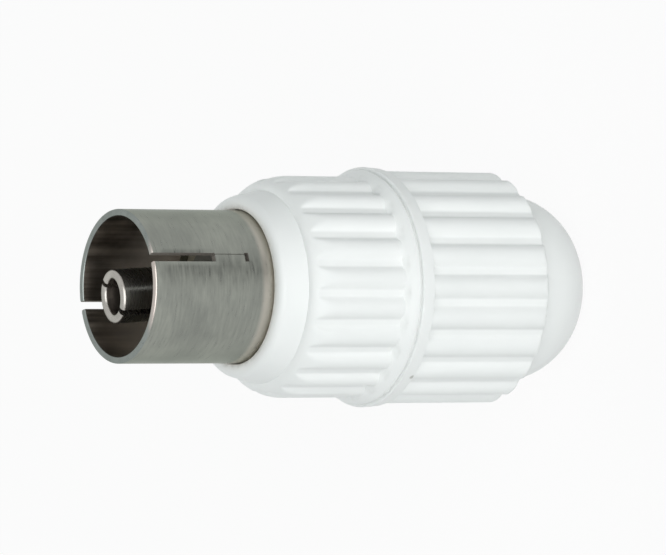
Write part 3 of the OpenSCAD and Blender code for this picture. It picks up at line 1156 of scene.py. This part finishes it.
@dataclass(frozen=True)
class PhotoCamera:
    """The camera as fitted to the photograph's outline."""

    elevation: float = 31.56
    roll: float = 0.27
    focal_px: float = 6261.7
    width_px: int = 666
    sensor: float = 36.0
    # Place of the mouth's centre, seen from the camera
    mouth_right: float = -14.48
    mouth_down: float = 0.59
    mouth_away: float = 420.0
    # Nearest and furthest distance that it sees, in metres
    clip: Pair = (0.01, 20.0)

    def build(self) -> None:
        """Make the camera and give it to the scene."""
        tilt, roll = math.radians(self.elevation), math.radians(self.roll)
        level = Vector((0, -math.sin(tilt), -math.cos(tilt)))
        upright = Vector((1, 0, 0))
        back = Vector((0, -math.cos(tilt), math.sin(tilt)))
        right = level * math.cos(roll) + upright * math.sin(roll)
        up = upright * math.cos(roll) - level * math.sin(roll)
        mouth = Vector((0, 0, OVERALL_LENGTH))
        place = mouth - right * self.mouth_right + up * self.mouth_down + back * self.mouth_away
        lens = bpy.data.cameras.new("photo_camera")
        lens.sensor_fit = "HORIZONTAL"
        lens.sensor_width = self.sensor
        lens.lens = self.focal_px / self.width_px * self.sensor
        lens.clip_start, lens.clip_end = self.clip
        camera = bpy.data.objects.new("photo_camera", lens)
        turn = Matrix((right, up, back)).transposed().to_4x4()
        camera.matrix_world = Matrix.Translation(place * MM) @ turn
        bpy.context.scene.collection.objects.link(camera)
        bpy.context.scene.camera = camera


class Lamp(NamedTuple):
    """A square soft lamp that points at the socket."""

    name: str
    azimuth: float
    elevation: float
    distance: float
    size: float
    watts: float
    # Whether the metal mirrors it
    mirrored: bool = True


@dataclass(frozen=True)
class Studio:
    """White floor, grey card, soft lamps and an even sky."""

    sky: str = "#E4F3F2"
    sky_strength: float = 0.24
    floor: str = "#E6E6E6"
    floor_half: float = 1500.0
    # Share of the floor that is plain white to the camera; the rest shows the shadow
    floor_glow: float = 0.92
    # Grey card that lies in front and that only the metal mirrors, as a dark band along the sleeve
    card: str = "#5A5A5A"
    card_half: float = 30.0
    card_place: Place = (26.0, -53.0, 0.2)
    # Tone to which the card fades from its middle outwards, so that it has no edge
    card_fade: str = "#FCFCFC"
    # Height that the lamps point at
    aim: float = 18.0
    lamps: tuple[Lamp, ...] = (
        Lamp("front", 356.0, 29.0, 600.0, 700.0, 3.45),
        Lamp("behind", 168.0, 20.0, 700.0, 700.0, 2.9, False),
        Lamp("low", 235.0, 16.0, 700.0, 700.0, 1.2, False),
    )

    def build(self) -> None:
        """Set the scene's colour, sky, floor, card and lamps."""
        bpy.context.scene.view_settings.view_transform = "Standard"
        self.build_sky()
        self.build_floor()
        self.build_card()
        for lamp in self.lamps:
            self.build_lamp(lamp)

    def build_sky(self) -> None:
        """Light the object evenly, and show white behind it and in its reflections."""
        world = bpy.data.worlds.new("even_sky")
        bpy.context.scene.world = world
        add = start_nodes(world)
        light = add("Background", {"Color": linear(self.sky), "Strength": self.sky_strength})
        white = add("Background", {"Color": linear(WHITE), "Strength": 1.0})
        add("OutputWorld", (add("MixShader", (self.seen(add), light, white)),))

    def seen(self, add: AddNode) -> Node:
        """Tell the rays that show a background from those that carry light.

        Args:
            add: Adds a node to the tree that needs to know.

        Returns:
            A node that gives 1 for camera, glossy and transmission rays.
        """
        ray = add("LightPath").outputs
        mirrored = add("Math", (ray["Is Glossy Ray"], ray["Is Transmission Ray"]), operation="MAXIMUM")
        return add("Math", (ray["Is Camera Ray"], mirrored), operation="MAXIMUM")

    def lay_square(self, name: str, half: float, place: Place, finish: Material) -> Object:
        """Lay out a level square.

        Args:
            name: Its name.
            half: Half the length of its sides.
            place: Its middle.
            finish: Its material.

        Returns:
            The square.
        """
        corners = np.array([(-half, -half, 0), (half, -half, 0), (half, half, 0), (-half, half, 0)])
        square = make_piece(name, (corners + np.array(place)) * MM, [(0, 1, 2, 3)])
        square.data.materials.append(finish)
        return square

    def build_floor(self) -> None:
        """Lay a white paper floor that keeps the socket's shadow."""
        paper = bpy.data.materials.new("paper_white_matt")
        add = start_nodes(paper)
        matt = add("BsdfDiffuse", {"Color": linear(self.floor)})
        glow = add("Emission", {"Color": linear(WHITE), "Strength": 1.0})
        share = add("Math", (self.seen(add), self.floor_glow), operation="MULTIPLY")
        add("OutputMaterial", (add("MixShader", (share, matt, glow)),))
        floor = self.lay_square("floor", self.floor_half, (0.0, 0.0, 0.0), paper)

    def build_card(self) -> None:
        """Lay a grey card on the floor, hidden from the camera and from the light."""
        board = bpy.data.materials.new("card_grey_matt")
        add = start_nodes(board)
        # A flat piece runs from 0 to 1 both ways here, and lies at a half across its thickness
        place = add("TexCoord").outputs["Generated"]
        off = add("VectorMath", (place, (0.5, 0.5, 0.5)), operation="DISTANCE")
        edge = add("MapRange", (off, 0.0, 0.5, 0.0, 1.0), interpolation_type="SMOOTHSTEP")
        tone = add("Mix", {0: edge, 6: linear(self.card), 7: linear(self.card_fade)}, data_type="RGBA")
        add("OutputMaterial", (add("Emission", {"Color": tone, "Strength": 1.0}),))
        card = self.lay_square("card", self.card_half, self.card_place, board)
        card.visible_camera = False
        card.visible_diffuse = False
        card.visible_shadow = False

    def build_lamp(self, lamp: Lamp) -> None:
        """Hang one lamp.

        Args:
            lamp: Its place, size and light.
        """
        light = bpy.data.lights.new(lamp.name, "AREA")
        light.size = lamp.size * MM
        light.energy = lamp.watts
        azimuth, elevation = math.radians(lamp.azimuth), math.radians(lamp.elevation)
        level = math.cos(elevation)
        away = Vector((math.sin(azimuth) * level, -math.cos(azimuth) * level, math.sin(elevation)))
        hung = bpy.data.objects.new(lamp.name, light)
        hung.visible_camera = False
        hung.visible_glossy = lamp.mirrored
        hung.location = (Vector((0, 0, self.aim)) + away * lamp.distance) * MM
        hung.rotation_euler = away.to_track_quat("Z", "Y").to_euler()
        bpy.context.scene.collection.objects.link(hung)


def main() -> None:
    """Build the studio and the socket, piece by piece."""
    logging.basicConfig(level=logging.INFO, format="%(name)s: %(message)s")
    PhotoCamera().build()
    Studio().build()
    parts = (
        FrontShell(),
        RearCap(),
        OuterContact(),
        CentreContact(),
        PackedPiece("insulator", BEAD_POLYTHENE),
        PackedPiece("terminal_screw", SCREW_ZINC),
        PackedPiece("cable_claw", CLAW_BRASS),
    )
    for part in parts:
        piece = part.build()
        LOG.info("%s: %d faces", piece.name, len(piece.data.polygons))


if __name__ == "__main__":
    main()
